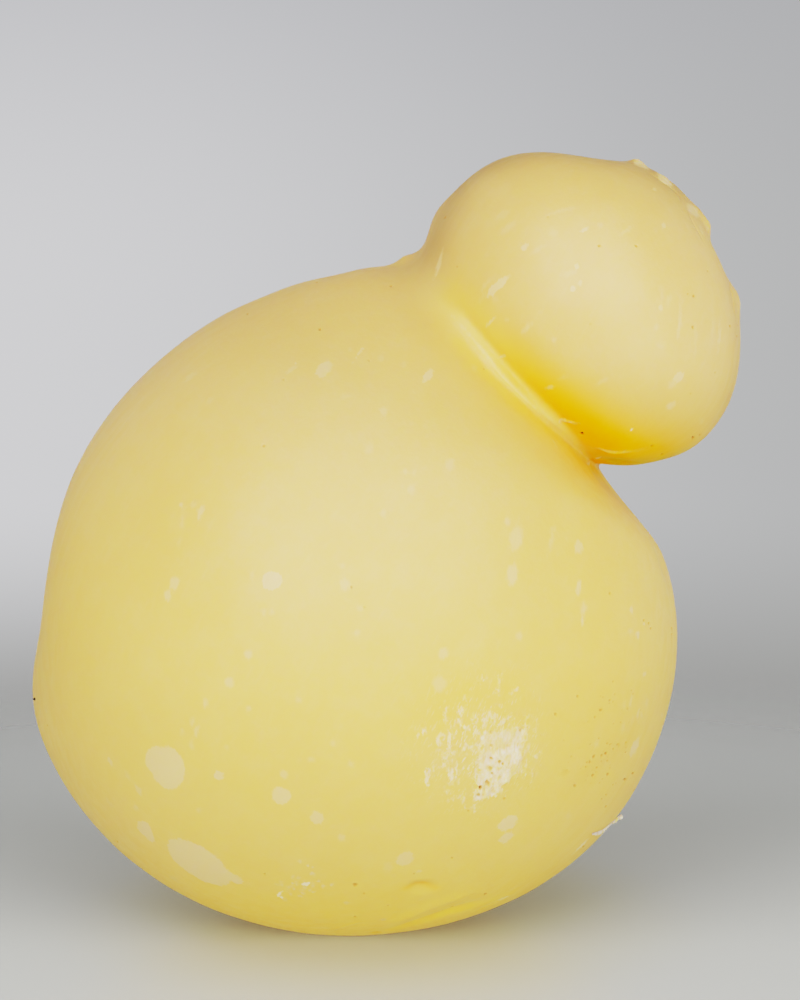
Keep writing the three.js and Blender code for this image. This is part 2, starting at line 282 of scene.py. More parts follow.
# Ridges and grooves through pixels of the photo: reach of their flanks and height in mm, and how much of
# their length fades out at each end. What is from the neck grows out of its axis, not along the normal.
LINES = [
    Line("roll of the neck", 1.3, 1, 0.4, ROLL, from_neck=True),
    Line("valley beside the head", 1.5, -0.6, 0.3,
         [(447, 293), (463, 311), (488, 344), (512, 370), (535, 392), (552, 408), (568, 423), (585, 443)]),
    Line("valley beside the body", 2.2, -0.3, 0.5,
         [(452, 330), (470, 353), (490, 379), (513, 404), (536, 420), (561, 441), (577, 460)]),
    Line("upper wrinkle of the neck", 0.4, 0.4, 0.4, [(560, 420), (568, 421), (577, 423)]),
    Line("lower wrinkle of the neck", 0.4, 0.45, 0.4, [(598, 447), (612, 451), (632, 451)]),
    Line("crease behind the knob", 0.5, -0.17, 0.3,
         [(640, 170), (654, 177), (667, 186), (678, 196), (681, 207)]),
    Line("crease of the corner", 0.5, -0.14, 0.4, [(684, 203), (691, 220), (700, 236), (704, 246)]),
    Line("groove of the lump", 0.6, -0.35, 0.3, [(728, 281), (732, 298), (734, 318)]),
    Line("dimple of the base", 1.8, -1.1, 0.5, [(403, 887), (421, 886), (440, 888)]),
    Line("fold over the crease", 2, 0.45, 0.3,
         [(376, 930), (404, 917), (432, 905), (459, 896), (480, 890)]),
    Line("hollow below the crease", 2.2, -0.75, 0.3,
         [(382, 932), (408, 925), (436, 915), (463, 906), (490, 897)]),
    Line("scratch of the base", 0.5, -0.15, 0.3, [(472, 912), (490, 904), (509, 895)]),
    Line("left fold of the base", 0.6, 0.2, 0.4, [(325, 931), (345, 925), (366, 919)]),
]

# Single bumps and pits: pixel, reach and rise in mm
BUMPS = [
    Bump("slack of the shoulder", (340, 270), 7.5, -0.9),
    Bump("fold over the neck", (406, 259), 3.4, 1.7),
    Bump("slack of the right shoulder", (662, 560), 6, -0.9),
    Bump("left of the neck", (438, 213), 5, 0.7),
    Bump("full underside of the head", (688, 445), 8, 0.85),
    Bump("top of the head", (560, 153), 8, 0.4),
    Bump("knob of the seal", (637, 163), 1.9, 1.2),
    Bump("second lump of the seal", (663, 179), 1.9, 0.5),
    Bump("third lump of the seal", (697, 212), 2.2, 0.6),
    Bump("corner of the seal", (708, 225), 2.2, 0.9),
    Bump("dip below the seal", (714, 243), 2.5, -0.4),
    Bump("lump below the seal", (738, 298), 3.2, 0.8),
    Bump("crumb on the left flank", (35.6, 699), 0.32, 0.8),
    Bump("nick of the base", (375, 932), 1.2, -0.7),
    Bump("web of the crook", (597, 464), 1.8, 0.7, from_neck=True),
    Bump("flat under the head", (617, 464), 4.5, -1.3),
]

# Tints along lines through pixels: reach in mm and strength at both ends of each line. Most are painted light
# and shade.
TINTS = {
    # Painted golden glow: brighter, yellower rind standing in for light that bounces and shines through the
    # rind in the neck's crease, on the rim under the crook, at the roll's lower end and in the hollow below
    # the base's crease
    "gold": [
        Tint("upper head side", (5, 6), (0.25, 0.5),
             [(456, 297), (486, 331), (511, 359), (533, 382), (556, 402)]),
        Tint("body side", (3.5, 4), (0.2, 0.4),
             [(462, 345), (490, 379), (513, 404), (536, 419), (561, 441), (584, 466)]),
        Tint("lower end of the roll", (1.5, 1.8), (0.1, 0.7), ROLL[4:]),
        Tint("rim under the crook", (3.5, 2.6), (1, 0.5), [(592, 466), (602, 478), (614, 492), (630, 512)]),
        Tint("hollow below the crease", (1.8, 2.2), (0.5, 0.3),
             [(390, 930), (415, 923), (445, 914), (475, 905), (508, 893)]),
    ],
    # Deep yellow: in the neck's crease, the crook and the base's dimple a painted shade, tinted as light
    # bounced in the hollows; right of the belly and above the scraped patch a deeper tone of the rind
    "deep": [
        Tint("lower head side", (5, 9), (0.4, 1.3),
             [(520, 366), (540, 385), (563, 404), (588, 423), (613, 442), (646, 458)]),
        Tint("crook", (2.2, 2.4), (0.8, 1), [(588, 452), (594, 459), (600, 463)]),
        Tint("right of the belly", (16, 18), (0.1, 0.13), [(600, 540), (612, 600), (600, 670)]),
        Tint("above the scraped patch", (7, 7), (0.12, 0.1), [(446, 712), (472, 693), (512, 700)]),
        Tint("dimple of the base", (1.1, 1.1), (0.4, 0.3), [(407, 887), (421, 885.5), (437, 888)]),
    ],
    # Pale haze: on the front of the shoulder, the middle of the belly, the front of the head and the roll's
    # crest a painted sheen; round the scraped patch a paler tone of the rind
    "hazy": [
        Tint("front of the shoulder", (13, 13), (0.2, 0.2), [(265, 402), (305, 405), (350, 400)]),
        Tint("middle of the belly", (10, 10), (0.1, 0.12), [(265, 530), (285, 585)]),
        Tint("round the scraped patch", (6, 5), (0.12, 0.15), [(446, 762), (482, 745), (524, 755)]),
        Tint("crest of the roll", (1.2, 1.2), (0.1, 0), ROLL[2:7]),
        Tint("front of the head", (9, 9), (0.1, 0.2), [(575, 275), (630, 300), (645, 350)]),
    ],
    # Painted shade: the head's upper left and its right side darkened, where less light falls
    "dull": [
        Tint("upper left of the head", (9, 11), (1, 0.9),
             [(436, 240), (455, 197), (482, 170), (520, 156), (560, 152), (600, 157), (642, 166),
              (668, 182)]),
        Tint("right side of the head", (6, 6), (0.4, 0.5),
             [(722, 262), (734, 310), (736, 360), (724, 410)]),
    ],
    # Painted shade under the head, darker and greener where the shoulder below keeps light from it
    "olive": [
        Tint("underside of the head", (7, 7), (0.75, 0.4),
             [(606, 463.5), (622, 464), (642, 463), (658, 458)]),
    ],
    "brown": [
        Tint("scuff of the right side", (3, 3), (0.07, 0.05),
             [(573, 786), (590, 768), (612, 752), (630, 735)]),
    ],
}
ROLL_BARE = (0.3, 2.2)  # mm from the neck's roll over which the deep tint, there a painted shade, sets in
HEAD_SIDE = (0, 3)  # mm along the neck's axis over which the painted shade under the head sets in

# Colours of the rind and its marks, and of its painted light and shade
RIND = (0.80, 0.55, 0.2, 1)
LEMON = (0.81, 0.56, 0.2, 1)
TAN = (0.765, 0.51, 0.218, 1)
# deep yellow: painted shade in the neck's crease, crook and dimple, elsewhere a deeper tone
DEEP_TONE_AND_PAINTED_SHADE = (0.97, 0.505, 0.0, 1)
PALE = (0.78, 0.588, 0.322, 1)
SCRAPED = (0.85, 0.70, 0.48, 1)
BROWN = (0.62, 0.27, 0.025, 1)
# painted golden glow of bounced light in hollows and at the base
PAINTED_GOLDEN_GLOW = (1, 0.665, 0.07, 1)
PAINTED_UNDERSIDE_SHADE = (0.55, 0.53, 0.0, 1)
SOOT = (0.04, 0.02, 0.005, 1)
PAINTED_SHADE = (0.77, 0.77, 0.73, 1)  # painted shade of the head's upper left and right side: multiplies the colour under it
TINT_COLOURS = {"gold": PAINTED_GOLDEN_GLOW, "deep": DEEP_TONE_AND_PAINTED_SHADE, "olive": PAINTED_UNDERSIDE_SHADE, "hazy": PALE, "brown": BROWN}  # from below

# Noise patterns of the rind: wavelength in mm, detail, range of the noise that counts, and values at its ends
PATTERNS = {
    "lemon patches": Pattern(45, 2, 0.35, 0.65, 0, 1),
    "haze": Pattern(6, 4, 0.4, 0.7, 0, 0.1),
    "streaks": Pattern(1.2, 3, 0.56, 0.75, 0, 0.08),
    "ragged edge": Pattern(1.6, 3, 0, 1, -0.3, 0.3),
    "broken edge": Pattern(0.5, 2, 0, 1, -0.25, 0.25),
    "torn edge": Pattern(0.7, 3, 0.3, 0.7, -0.75, 0.55, roughness=0.65),
    "fine mottling": Pattern(0.45, 2, 0.35, 0.65, 0.55, 1),
    "mottling": Pattern(1.5, 2, 0.36, 0.56, 0.35, 1),
    "scratches": Pattern(0.35, 2, 0.54, 0.68, 0, 0.85),
    "patches": Pattern(2.2, 2, 0.4, 0.6, 0.2, 1),
    "roughness": Pattern(3, 3, 0.3, 0.7, 0.36, 0.46),
}

# How many times as long as wide the patterns are, and how far the finest scratches lean over to the right
STREAKED, UPRIGHT, FIBROUS, COMBED = 7, 4, 1.8, 4.5
COMBED_LEAN = math.radians(22)

# Ranges over which one look passes into another, some with the values at both ends
TAN_HEIGHTS = (0.05, 0.15)  # m above the floor
PAINTED_GOLDEN_BASE = (0, 0.032, 0.5, 0)  # m above the floor, then the share of painted golden glow, the base painted brighter for bounced light
SPOT_SOFTNESS = (0.4, 0.9, 0.5, 0.2)  # a spot's paleness, then half the width of its edge in mm
WHITEST_SPOTS = (0.9, 1)  # a spot's paleness
TORN_EDGE = (-0.4, 0.7)  # mm inside a stroke
SOOTY = (0.75, 1)  # a pinhole's darkness
SCATTERING = (0, 0.7, 0.7, 0)  # a pinhole's darkness, then the share of light that scatters in the rind

# The rind's skin and grain: wavelength in mm, detail and height in mm
SKIN = (1.1, 3, 0.03)
GRAIN = (0.8, 2, 0.02)
SPOT_ROUGHNESS = 0.5
SCRAPED_ROUGHNESS = 0.75
SPECULAR = 0.8
SCATTER_RADIUS = (1, 0.65, 0.2)  # of red, green and blue
SCATTER_SCALE = 5 * MM

# The floor, in m: the distances from the middle over which a painted pool of the cheese's warm bounce light
# comes in and the floor fades out, and its colour and glow far from the cheese and near it, the warmer near
# ones being that painted bounce light
FLOOR = {
    "radius": 0.5, "sides": 96, "roughness": 0.35, "near": (0.08, 0.03), "fade": (0.13, 0.36, 1, 0),
    "colours": ((0.2, 0.203, 0.195, 1), (0.2, 0.196, 0.172, 1)),
    "glow": ((0.03, 0.0295, 0.026, 1), (0.03, 0.025, 0.002, 1)),
}

# Soft lights: direction from the cheese in degrees (turn from the front to the right, height above the
# horizon), distance and size in m, brightness, whether gloss shows it, and the only objects that it lights
LIGHTS = [
    Light("window", 3, 38, 1, (1.8, 1.2), 1.08, glossy=True),
    Light("low_fill", 4, -20, 0.9, (1.8, 0.6), 0.5),
    Light("front_fill", 0, 7, 0.9, (1.6, 0.25), 0.6),
    Light("floor_left", -50, 4, 1, (0.8, 0.2), 76, only=("floor",)),
    Light("floor_right", 50, 4, 1, (0.8, 0.2), 76, only=("floor",)),
    Light("back_light", 180, 6, 1, (0.7, 0.6), 3, only=("rind", "shaving")),
    Light("right_wall", 105, 10, 0.5, (0.6, 0.6), 0.19, glossy=True),
]

# The room's colours, and the parts of the view's direction over which each takes over
ROOM = {
    "front": (0.66, 0.66, 0.67, 1),
    "back left": (0.47, 0.47, 0.485, 1),
    "back right": (0.326, 0.328, 0.33, 1),
    "back below": (0.25, 0.25, 0.245, 1),
    "overhead": (0.275, 0.277, 0.295, 1),
    "left wall below": (0.27, 0.27, 0.27, 1),
    "left wall above": (0.46, 0.465, 0.5, 1),
}
ROOM_TURNS = {
    "right": (-0.18, 0.2), "below": (-0.1, -0.2), "behind": (-0.3, 0.8), "overhead": (-0.02, 0.25),
    "left wall": (-0.25, -0.55), "left wall behind": (-0.2, 0.3), "left wall above": (0, 0.35),
}

# The film's response: light of the scene to light of the picture
FILM = [
    (0, 0), (0.035, 0.004), (0.08, 0.05), (0.16, 0.16), (0.3, 0.43), (0.45, 0.61), (0.65, 0.73), (0.9, 0.81),
    (1, 0.835),
]
ALL_CHANNELS = 3  # the curve that acts on red, green and blue alike


def add_object(name, data):
    thing = bpy.data.objects.new(name, data)
    bpy.context.scene.collection.objects.link(thing)
    return thing


def mesh_of(form, name):
    mesh = bpy.data.meshes.new(name)
    form.to_mesh(mesh)
    form.free()
    return mesh


def aim(thing, place, direction):
    """Puts a camera or a light at a place, facing along a direction."""
    thing.location = place
    thing.rotation_mode = "QUATERNION"
    thing.rotation_quaternion = direction.to_track_quat("-Z", "Y")


def add_camera():
    data = bpy.data.cameras.new("camera")
    data.sensor_width = SENSOR
    data.lens = FOCAL_PIXELS * SENSOR / max(PICTURE)
    bpy.context.scene.camera = add_object("camera", data)
    aim(bpy.context.scene.camera, EYE, FORWARD)


def fine_copy(node, name):
    """A smooth copy of a solid: its triangles joined to the quads that they came from, then subdivided."""
    form = bmesh.new()
    form.from_mesh(node.data)
    bmesh.ops.remove_doubles(form, verts=form.verts, dist=SAME_POINT)
    bmesh.ops.join_triangles(
        form, faces=form.faces, angle_face_threshold=math.pi, angle_shape_threshold=math.pi
    )
    piece = add_object(name, mesh_of(form, name))
    subdivision = piece.modifiers.new("fine", "SUBSURF")
    subdivision.levels = subdivision.render_levels = FINENESS
    seen = piece.evaluated_get(bpy.context.evaluated_depsgraph_get())
    piece.data = bpy.data.meshes.new_from_object(seen)
    piece.modifiers.clear()
    piece.data.shade_smooth()
    return piece


def surface_of(mesh):
    return BVHTree.FromPolygons([v.co for v in mesh.vertices], [tuple(f.vertices) for f in mesh.polygons])


def view_ray(x, y):
    """The direction from the eye through a pixel, one unit long along the view."""
    across = (x - PICTURE[0] / 2) / FOCAL_PIXELS
    up = (PICTURE[1] / 2 - y) / FOCAL_PIXELS
    return FORWARD + RIGHT * across + UPWARD * up


def along_surface(axis, normal):
    """A view axis laid onto the surface. Offsets along it are as seen, up to the most stretch."""
    flat = axis - normal * axis.dot(normal)
    return np.array(flat * max(1, 1 / (MOST_STRETCH * flat.length)))


def place_at(surface, x, y):
    """The place of the surface that shows at a pixel, or the nearest one if the pixel is beside it."""
    ray = view_ray(x, y)
    point, normal, _, _ = surface.ray_cast(EYE, ray)
    if point is None:
        beside = [surface.find_nearest(EYE + ray * (DISTANCE + depth * MM)) for depth in DEPTHS]
        point, normal, _, _ = min(beside, key=lambda found: found[3])
    return Place(np.array(point) / MM, along_surface(RIGHT, normal), along_surface(UPWARD, normal))


def point_at(surface, x, y):
    """The point at a pixel, as far from the eye as the surface that shows there or next to it."""
    ray = view_ray(x, y)
    away = (Vector(place_at(surface, x, y).point) * MM - EYE).dot(FORWARD)
    return EYE + ray * away


def hidden_places(surface, middle, count, random):
    """Random places round a middle that the photo's view doesn't reach."""
    places = []
    while len(places) < count:
        direction = Vector(random.normal(size=3)).normalized()
        point, normal, _, _ = surface.ray_cast(middle * MM, direction)
        if direction.dot(EYE - point) < 0 and point.z > CLEAR_OF_FLOOR * MM:
            up = (AXIS - direction * AXIS.dot(direction)).normalized()
            places.append(Place(np.array(point) / MM, np.array(up.cross(direction)), np.array(up)))
    return places


def smooth_curve(corners, steps=6):
    """A smooth curve through corners, which can be of any dimension."""
    corners = np.array(corners, float)
    before, after = 2 * corners[0] - corners[1], 2 * corners[-1] - corners[-2]
    corners = np.vstack([before, corners, after])
    curve = []
    for a, b, c, d in zip(corners, corners[1:], corners[2:], corners[3:]):
        for t in np.arange(steps) / steps:
            bent = (2 * a - 5 * b + 4 * c - d) * t**2 + (3 * b - a - 3 * c + d) * t**3
            curve.append(b + ((c - a) * t + bent) / 2)
    curve.append(corners[-2])
    return np.array(curve)


def smooth_line(surface, pixels):
    """Points of the surface along a smooth line through pixels."""
    return np.array([place_at(surface, x, y).point for x, y in smooth_curve(pixels)])


def line_distance(points, line):
    """The distance of points from a line, and how far along it the nearest point is, from 0 to 1."""
    nearest = np.full(len(points), np.inf)
    share = np.zeros(len(points))
    for i, (start, end) in enumerate(zip(line, line[1:])):
        run = end - start
        t = np.clip((points - start) @ run / max(run @ run, 1e-9), 0, 1)
        distance = np.linalg.norm(points - start - t[:, None] * run, axis=1)
        closer = distance < nearest
        nearest[closer] = distance[closer]
        share[closer] = (i + t[closer]) / (len(line) - 1)
    return nearest, share


def bell(distance, reach):
    return np.exp(-((distance / reach) ** 2))


def eased(value, low, high):
    t = np.clip((value - low) / (high - low), 0, 1)
    return t * t * (3 - 2 * t)


def wavering(points, wavelength, octaves=2, offset=0):
    """Smooth noise of about -1 to 1 at points in mm."""
    shift = Vector((offset, 0, 0))
    return np.array([noise.fractal(Vector(p) / wavelength + shift, 1, 2, octaves) for p in points])


def refine(mesh, sites):
    """Splits the faces near each site until their edges are no longer than its spacing."""
    form = bmesh.new()
    form.from_mesh(mesh)
    for step in range(REFINE_PASSES):
        form.faces.ensure_lookup_table()
        tree = KDTree(len(form.faces))
        for face in form.faces:
            tree.insert(face.calc_center_median(), face.index)
        tree.balance()
        margin = REFINE_MARGIN / 2**step
        edges = set()
        for site in sites:
            for _, index, _ in tree.find_range(Vector(site.point) * MM, (site.reach + margin) * MM):
                edges.update(e for e in form.faces[index].edges if e.calc_length() > site.spacing * MM)
        corners = {corner for edge in edges for corner in edge.verts}
        split = bmesh.ops.subdivide_edges(form, edges=list(edges), cuts=1, use_grid_fill=True)
        corners.update(item for item in split["geom_inner"] if isinstance(item, bmesh.types.BMVert))
        corners = [corner for corner in corners if corner.is_valid]
        bmesh.ops.smooth_vert(
            form, verts=corners, factor=0.5, use_axis_x=True, use_axis_y=True, use_axis_z=True
        )
        form.faces.index_update()
    form.to_mesh(mesh)
    form.free()
    mesh.shade_smooth()


def read_vertices(mesh, what):
    values = np.empty(len(mesh.vertices) * 3, np.float32)
    mesh.vertices.foreach_get(what, values)
    return values.reshape(-1, 3).astype(float)


def leaning_axes(place, lean):
    """The axes of a mark's width and height at a place."""
    turn = math.radians(lean)
    width = place.across * math.cos(turn) - place.up * math.sin(turn)
    height = place.across * math.sin(turn) + place.up * math.cos(turn)
    return width, height


def scattered(pixel, spread, share, random):
    """A random pixel near another, by a normal distribution over a share of a spread in mm."""
    return np.array(pixel) + random.normal(size=2) * spread * PIXELS_PER_MM * share


def brine_and_painted_highlight_marks(surface, random):
    """Every pale spot: those in the photo, some of them painted highlights on the neck, the crumbs low on the
    body, and others like them out of view.
    """
    marks = [Mark(place_at(surface, x, y), *rest) for x, y, *rest in SPOTS]
    for _ in range(FLECKS["count"]):
        x, y = scattered(FLECKS["pixel"], FLECKS["spread"], CLUSTERED, random)
        width, height = random.uniform(*FLECKS["width"], 2)
        marks.append(Mark(place_at(surface, x, y), width, height, random.uniform(*FLECKS["amount"])))
    for middle, count in zip(MIDDLES, HIDDEN_SPOTS["counts"]):
        for place in hidden_places(surface, middle, count, random):
            width = HIDDEN_SPOTS["least"] + random.gamma(*HIDDEN_SPOTS["added"])
            height = width * random.uniform(*HIDDEN_SPOTS["slenderness"])
            lean = random.normal(0, HIDDEN_SPOTS["lean"])
            marks.append(Mark(place, width, height, random.uniform(*HIDDEN_SPOTS["amount"]), lean))
    return marks


def pinhole_marks(surface, random):
    """Every pinhole, as a round mark."""
    marks = [Mark(place_at(surface, x, y), width, width, amount) for x, y, width, amount in PINHOLES]
    for cluster in SPECKS:
        for _ in range(cluster["count"]):
            x, y = scattered(cluster["pixel"], cluster["spread"], CLUSTERED, random)
            width = random.uniform(*SPECK["width"])
            marks.append(Mark(place_at(surface, x, y), width, width, random.uniform(*SPECK["amount"])))
    for middle, count in zip(MIDDLES, HIDDEN_PINHOLES["counts"]):
        for place in hidden_places(surface, middle, count, random):
            width = random.uniform(*HIDDEN_PINHOLES["width"])
            marks.append(Mark(place, width, width, random.uniform(*HIDDEN_PINHOLES["amount"])))
    return marks


def scrape_strokes(surface, random):
    """Every stroke of the scraped patch as (start, end, width, amount), with loose fibres among them."""
    strokes = []
    for x, y, end_x, end_y, *rest in SCRAPES:
        strokes.append((place_at(surface, x, y).point, place_at(surface, end_x, end_y).point, *rest))
    for _ in range(FIBRES["count"]):
        x, y = scattered(SCRAPE_MIDDLE, SCRAPE_REACH, FIBRES["scatter"], random)
        length = random.uniform(*FIBRES["length"]) * PIXELS_PER_MM
        lean = random.normal(*FIBRES["lean"])
        end = place_at(surface, x + length * math.sin(lean), y - length * math.cos(lean))
        width = random.uniform(*FIBRES["width"])
        strokes.append((place_at(surface, x, y).point, end.point, width, random.uniform(*FIBRES["amount"])))
    return strokes


def mark_sites(mark):
    """Refinement along a mark's height, finer for a smaller mark."""
    _, height_axis = leaning_axes(mark.place, mark.lean)
    height_axis = height_axis / np.linalg.norm(height_axis)
    steps = max(1, round(mark.height / mark.width))
    offsets = (np.arange(steps) - (steps - 1) / 2) * mark.height / steps
    spacing = np.clip(min(mark.width, mark.height) * MARK_SPACING, *MARK_LIMITS)
    reach = max(mark.width, mark.height / steps) / 2
    return [Site(mark.place.point + height_axis * offset, reach, spacing) for offset in offsets]


def refined_sites(marks, strokes, lines, bumps):
    """Every site of the mesh that is refined: round marks, lines, bumps and strokes."""
    sites = [site for mark in marks for site in mark_sites(mark)]
    for line in LINES:
        spacing = max(LINE_LIMIT, line.reach * LINE_SPACING)
        sites += [Site(point, line.reach * FLANK, spacing) for point in lines[line.name]]
    for bump in BUMPS:
        sites.append(Site(bumps[bump.name], bump.reach * FLANK, bump.reach * BUMP_SPACING))
    for start, end, _, _ in strokes:
        reach = np.linalg.norm(end - start) / 2 + STROKE_MARGIN
        sites.append(Site((start + end) / 2, reach, STROKE_SPACING))
    return sites


def mark_depth(points, mark):
    """How far inside a mark points are, in mm: above 0 inside, 0 at its edge, below 0 outside."""
    depth = np.full(len(points), OUTSIDE)
    offset = points - mark.place.point
    near = np.flatnonzero((np.abs(offset) < max(mark.width, mark.height) + MARK_MARGIN).all(axis=1))
    width_axis, height_axis = leaning_axes(mark.place, mark.lean)
    across = offset[near] @ width_axis / (mark.width / 2)
    up = offset[near] @ height_axis / (mark.height / 2)
    depth[near] = (1 - np.hypot(across, up)) * min(mark.width, mark.height) / 2
    return depth


def set_attribute(mesh, name, values):
    mesh.attributes.new(name, "FLOAT", "POINT").data.foreach_set("value", values.astype(np.float32))


def deepest(points, layers):
    """How far inside the nearest mark points are, and its strength, from each mark's depths and strength."""
    depth = np.full(len(points), OUTSIDE)
    amount = np.zeros(len(points))
    for own, strength in layers:
        inside = own > depth
        depth[inside] = own[inside]
        amount[inside] = strength
    return depth, amount


def deepest_mark(points, marks):
    return deepest(points, ((mark_depth(points, mark), mark.amount) for mark in marks))


def deepest_stroke(points, strokes):
    distances = (line_distance(points, [start, end])[0] for start, end, _, _ in strokes)
    return deepest(points, ((row[2] / 2 - distance, row[3]) for row, distance in zip(strokes, distances)))


def neck_offsets(points):
    """How far points are along the neck's axis from its middle, and their offsets from that axis."""
    axis = np.array(NECK_AXIS)
    offset = points - np.array(NECK_MIDDLE)
    along = offset @ axis
    return along, offset - along[:, None] * axis


def fill_neck(mesh):
    """Rounds out the groove of the neck, where head and body have grown together, but not its right end."""
    points = read_vertices(mesh, "co") / MM
    along, outward = neck_offsets(points)
    radius = np.linalg.norm(outward, axis=1)
    rightness = outward @ np.array(NECK_RIGHT) / radius
    reached = bell(np.hypot(along, radius - NECK_RADIUS), NECK_FILLET["reach"])
    factor = NECK_FILLET["strength"] * reached * (1 - eased(rightness, *NECK_FILLET["sharp"]))
    factor[reached <= NECK_FILLET["least"]] = 0

    ends = np.empty(len(mesh.edges) * 2, int)
    mesh.edges.foreach_get("vertices", ends)
    ends = ends.reshape(-1, 2)
    ends = ends[(reached[ends] > NECK_FILLET["least"]).any(axis=1)]
    neighbours = np.maximum(np.bincount(ends.ravel(), minlength=len(points)), 1)[:, None]
    for _ in range(NECK_FILLET["passes"]):
        total = np.zeros_like(points)
        np.add.at(total, ends[:, 0], points[ends[:, 1]])
        np.add.at(total, ends[:, 1], points[ends[:, 0]])
        points += factor[:, None] * (total / neighbours - points)
    mesh.vertices.foreach_set("co", (points * MM).astype(np.float32).ravel())
    mesh.update()


def relief(points, lines, bumps):
    """How far points rise along their normals, and how far they grow straight out of the neck, in mm."""
    height = np.full(len(points), MEAN_RISE)
    for rise, wavelength in WAVES:
        height += rise * wavering(points, wavelength)
    neck_growth = np.zeros(len(points))
    for line in LINES:
        distance, share = line_distance(points, lines[line.name])
        taper = eased(share, 0, line.ends) * eased(1 - share, 0, line.ends)
        grown = neck_growth if line.from_neck else height
        grown += line.rise * bell(distance, line.reach) * taper
    for bump in BUMPS:
        distance = np.linalg.norm(points - bumps[bump.name], axis=1)
        grown = neck_growth if bump.from_neck else height
        grown += bump.rise * bell(distance, bump.reach)
    return height, neck_growth


def tints_of(points, lines, roll, along_neck):
    """How strong each tint is at points."""
    tints = {}
    for tint, rows in TINTS.items():
        tints[tint] = np.zeros(len(points))
        for row, line in zip(rows, lines[tint]):
            distance, share = line_distance(points, line)
            reach, amount = (np.interp(share, (0, 1), ends) for ends in (row.reach, row.amount))
            tints[tint] = np.maximum(tints[tint], np.minimum(amount * bell(distance, reach), 1))
    tints["deep"] *= eased(line_distance(points, roll)[0], *ROLL_BARE)
    tints["olive"] *= eased(along_neck, *HEAD_SIDE)
    return tints


def scrape_marks(points, strokes, middle):
    """The scraped patch's marks at points, and its torn relief in mm."""
    depth, amount, rise = np.full(len(points), OUTSIDE), np.zeros(len(points)), np.zeros(len(points))
    offset = points - middle.point
    patch = np.flatnonzero(np.linalg.norm(offset, axis=1) < SCRAPE_BORDER * max(SCRAPE_REACH))
    depth[patch], amount[patch] = deepest_stroke(points[patch], strokes)
    fibres = wavering(points[patch] * TORN["stretch"], TORN["wavelength"], TORN["octaves"], TORN["offset"])
    torn = eased(depth[patch], *TORN["edge"]) * amount[patch]
    rise[patch] = TORN["rise"] * torn * (fibres + TORN["mean"])
    across, up = (offset @ axis / reach for axis, reach in zip((middle.across, middle.up), SCRAPE_REACH))
    scuffed = bell(np.hypot(across, up), SCUFF_SPREAD)
    return {"scraped": depth, "scraped_amount": amount, "scuffed": scuffed}, rise


def weather(mesh):
    """Gives the surface its relief and its marks, and keeps the marks as attributes for its material."""
    random = np.random.default_rng(SEED)
    surface = surface_of(mesh)
    spots = brine_and_painted_highlight_marks(surface, random)
    pinholes = pinhole_marks(surface, random)
    strokes = scrape_strokes(surface, random)
    lines = {line.name: smooth_line(surface, line.pixels) for line in LINES}
    bumps = {bump.name: place_at(surface, *bump.pixel).point for bump in BUMPS}
    tint_lines = {tint: [smooth_line(surface, row.pixels) for row in rows] for tint, rows in TINTS.items()}
    scrape_middle = place_at(surface, *SCRAPE_MIDDLE)
    refine(mesh, refined_sites(spots + pinholes, strokes, lines, bumps))

    points = read_vertices(mesh, "co") / MM
    normals = read_vertices(mesh, "normal")
    along_neck, outward = neck_offsets(points)
    outward /= np.linalg.norm(outward, axis=1)[:, None]
    height, neck_growth = relief(points, lines, bumps)
    marks, torn = scrape_marks(points, strokes, scrape_middle)
    marks.update(tints_of(points, tint_lines, lines["roll of the neck"], along_neck))
    marks["pale"], marks["pale_amount"] = deepest_mark(points, spots)
    pin, pin_amount = deepest_mark(points, pinholes)
    marks["pinhole"] = eased(pin, *PINHOLE_EDGE) * pin_amount
    height += torn - PINHOLE_DEPTH * marks["pinhole"]

    moved = points + normals * height[:, None] + outward * neck_growth[:, None]
    moved[:, 2] = np.maximum(moved[:, 2], 0)
    mesh.vertices.foreach_set("co", (moved * MM).astype(np.float32).ravel())
    mesh.update()
    for name, values in marks.items():
        set_attribute(mesh, name, values)


def add_shaving(surface, random):
    """A curl of rind that has come loose at the lower right: a thin strip with ragged edges."""
    form = bmesh.new()
    curve = smooth_curve(SHAVING["pixels_and_widths"], steps=5)
    middles = [point_at(surface, x, y) - FORWARD * SHAVING["lift"] * MM for x, y, _ in curve]
    rings = []
    for i, middle in enumerate(middles):
        run = middles[min(i + 1, len(middles) - 1)] - middles[max(i - 1, 0)]
        side = run.cross(FORWARD).normalized()
        ring = []
        for angle in np.arange(SHAVING["sides"]) * 2 * math.pi / SHAVING["sides"]:
            ragged = random.uniform(*SHAVING["ragged"])
            across = curve[i][2] * ragged * math.cos(angle) / 2
            deep = SHAVING["thickness"] * math.sin(angle) / 2
            ring.append(form.verts.new(middle + (side * across + FORWARD * deep) * MM))
        rings.append(ring)
    for ring, after in zip(rings, rings[1:]):
        for i in range(SHAVING["sides"]):
            form.faces.new((ring[i - 1], ring[i], after[i], after[i - 1]))
    form.faces.new(rings[0])
    form.faces.new(rings[-1][::-1])
    bmesh.ops.recalc_face_normals(form, faces=form.faces)
    mesh = mesh_of(form, "shaving")
    mesh.shade_smooth()
    set_attribute(mesh, "scraped", np.ones(len(mesh.vertices)))
    set_attribute(mesh, "scraped_amount", np.full(len(mesh.vertices), SHAVING["whiteness"]))
    return add_object("shaving", mesh)


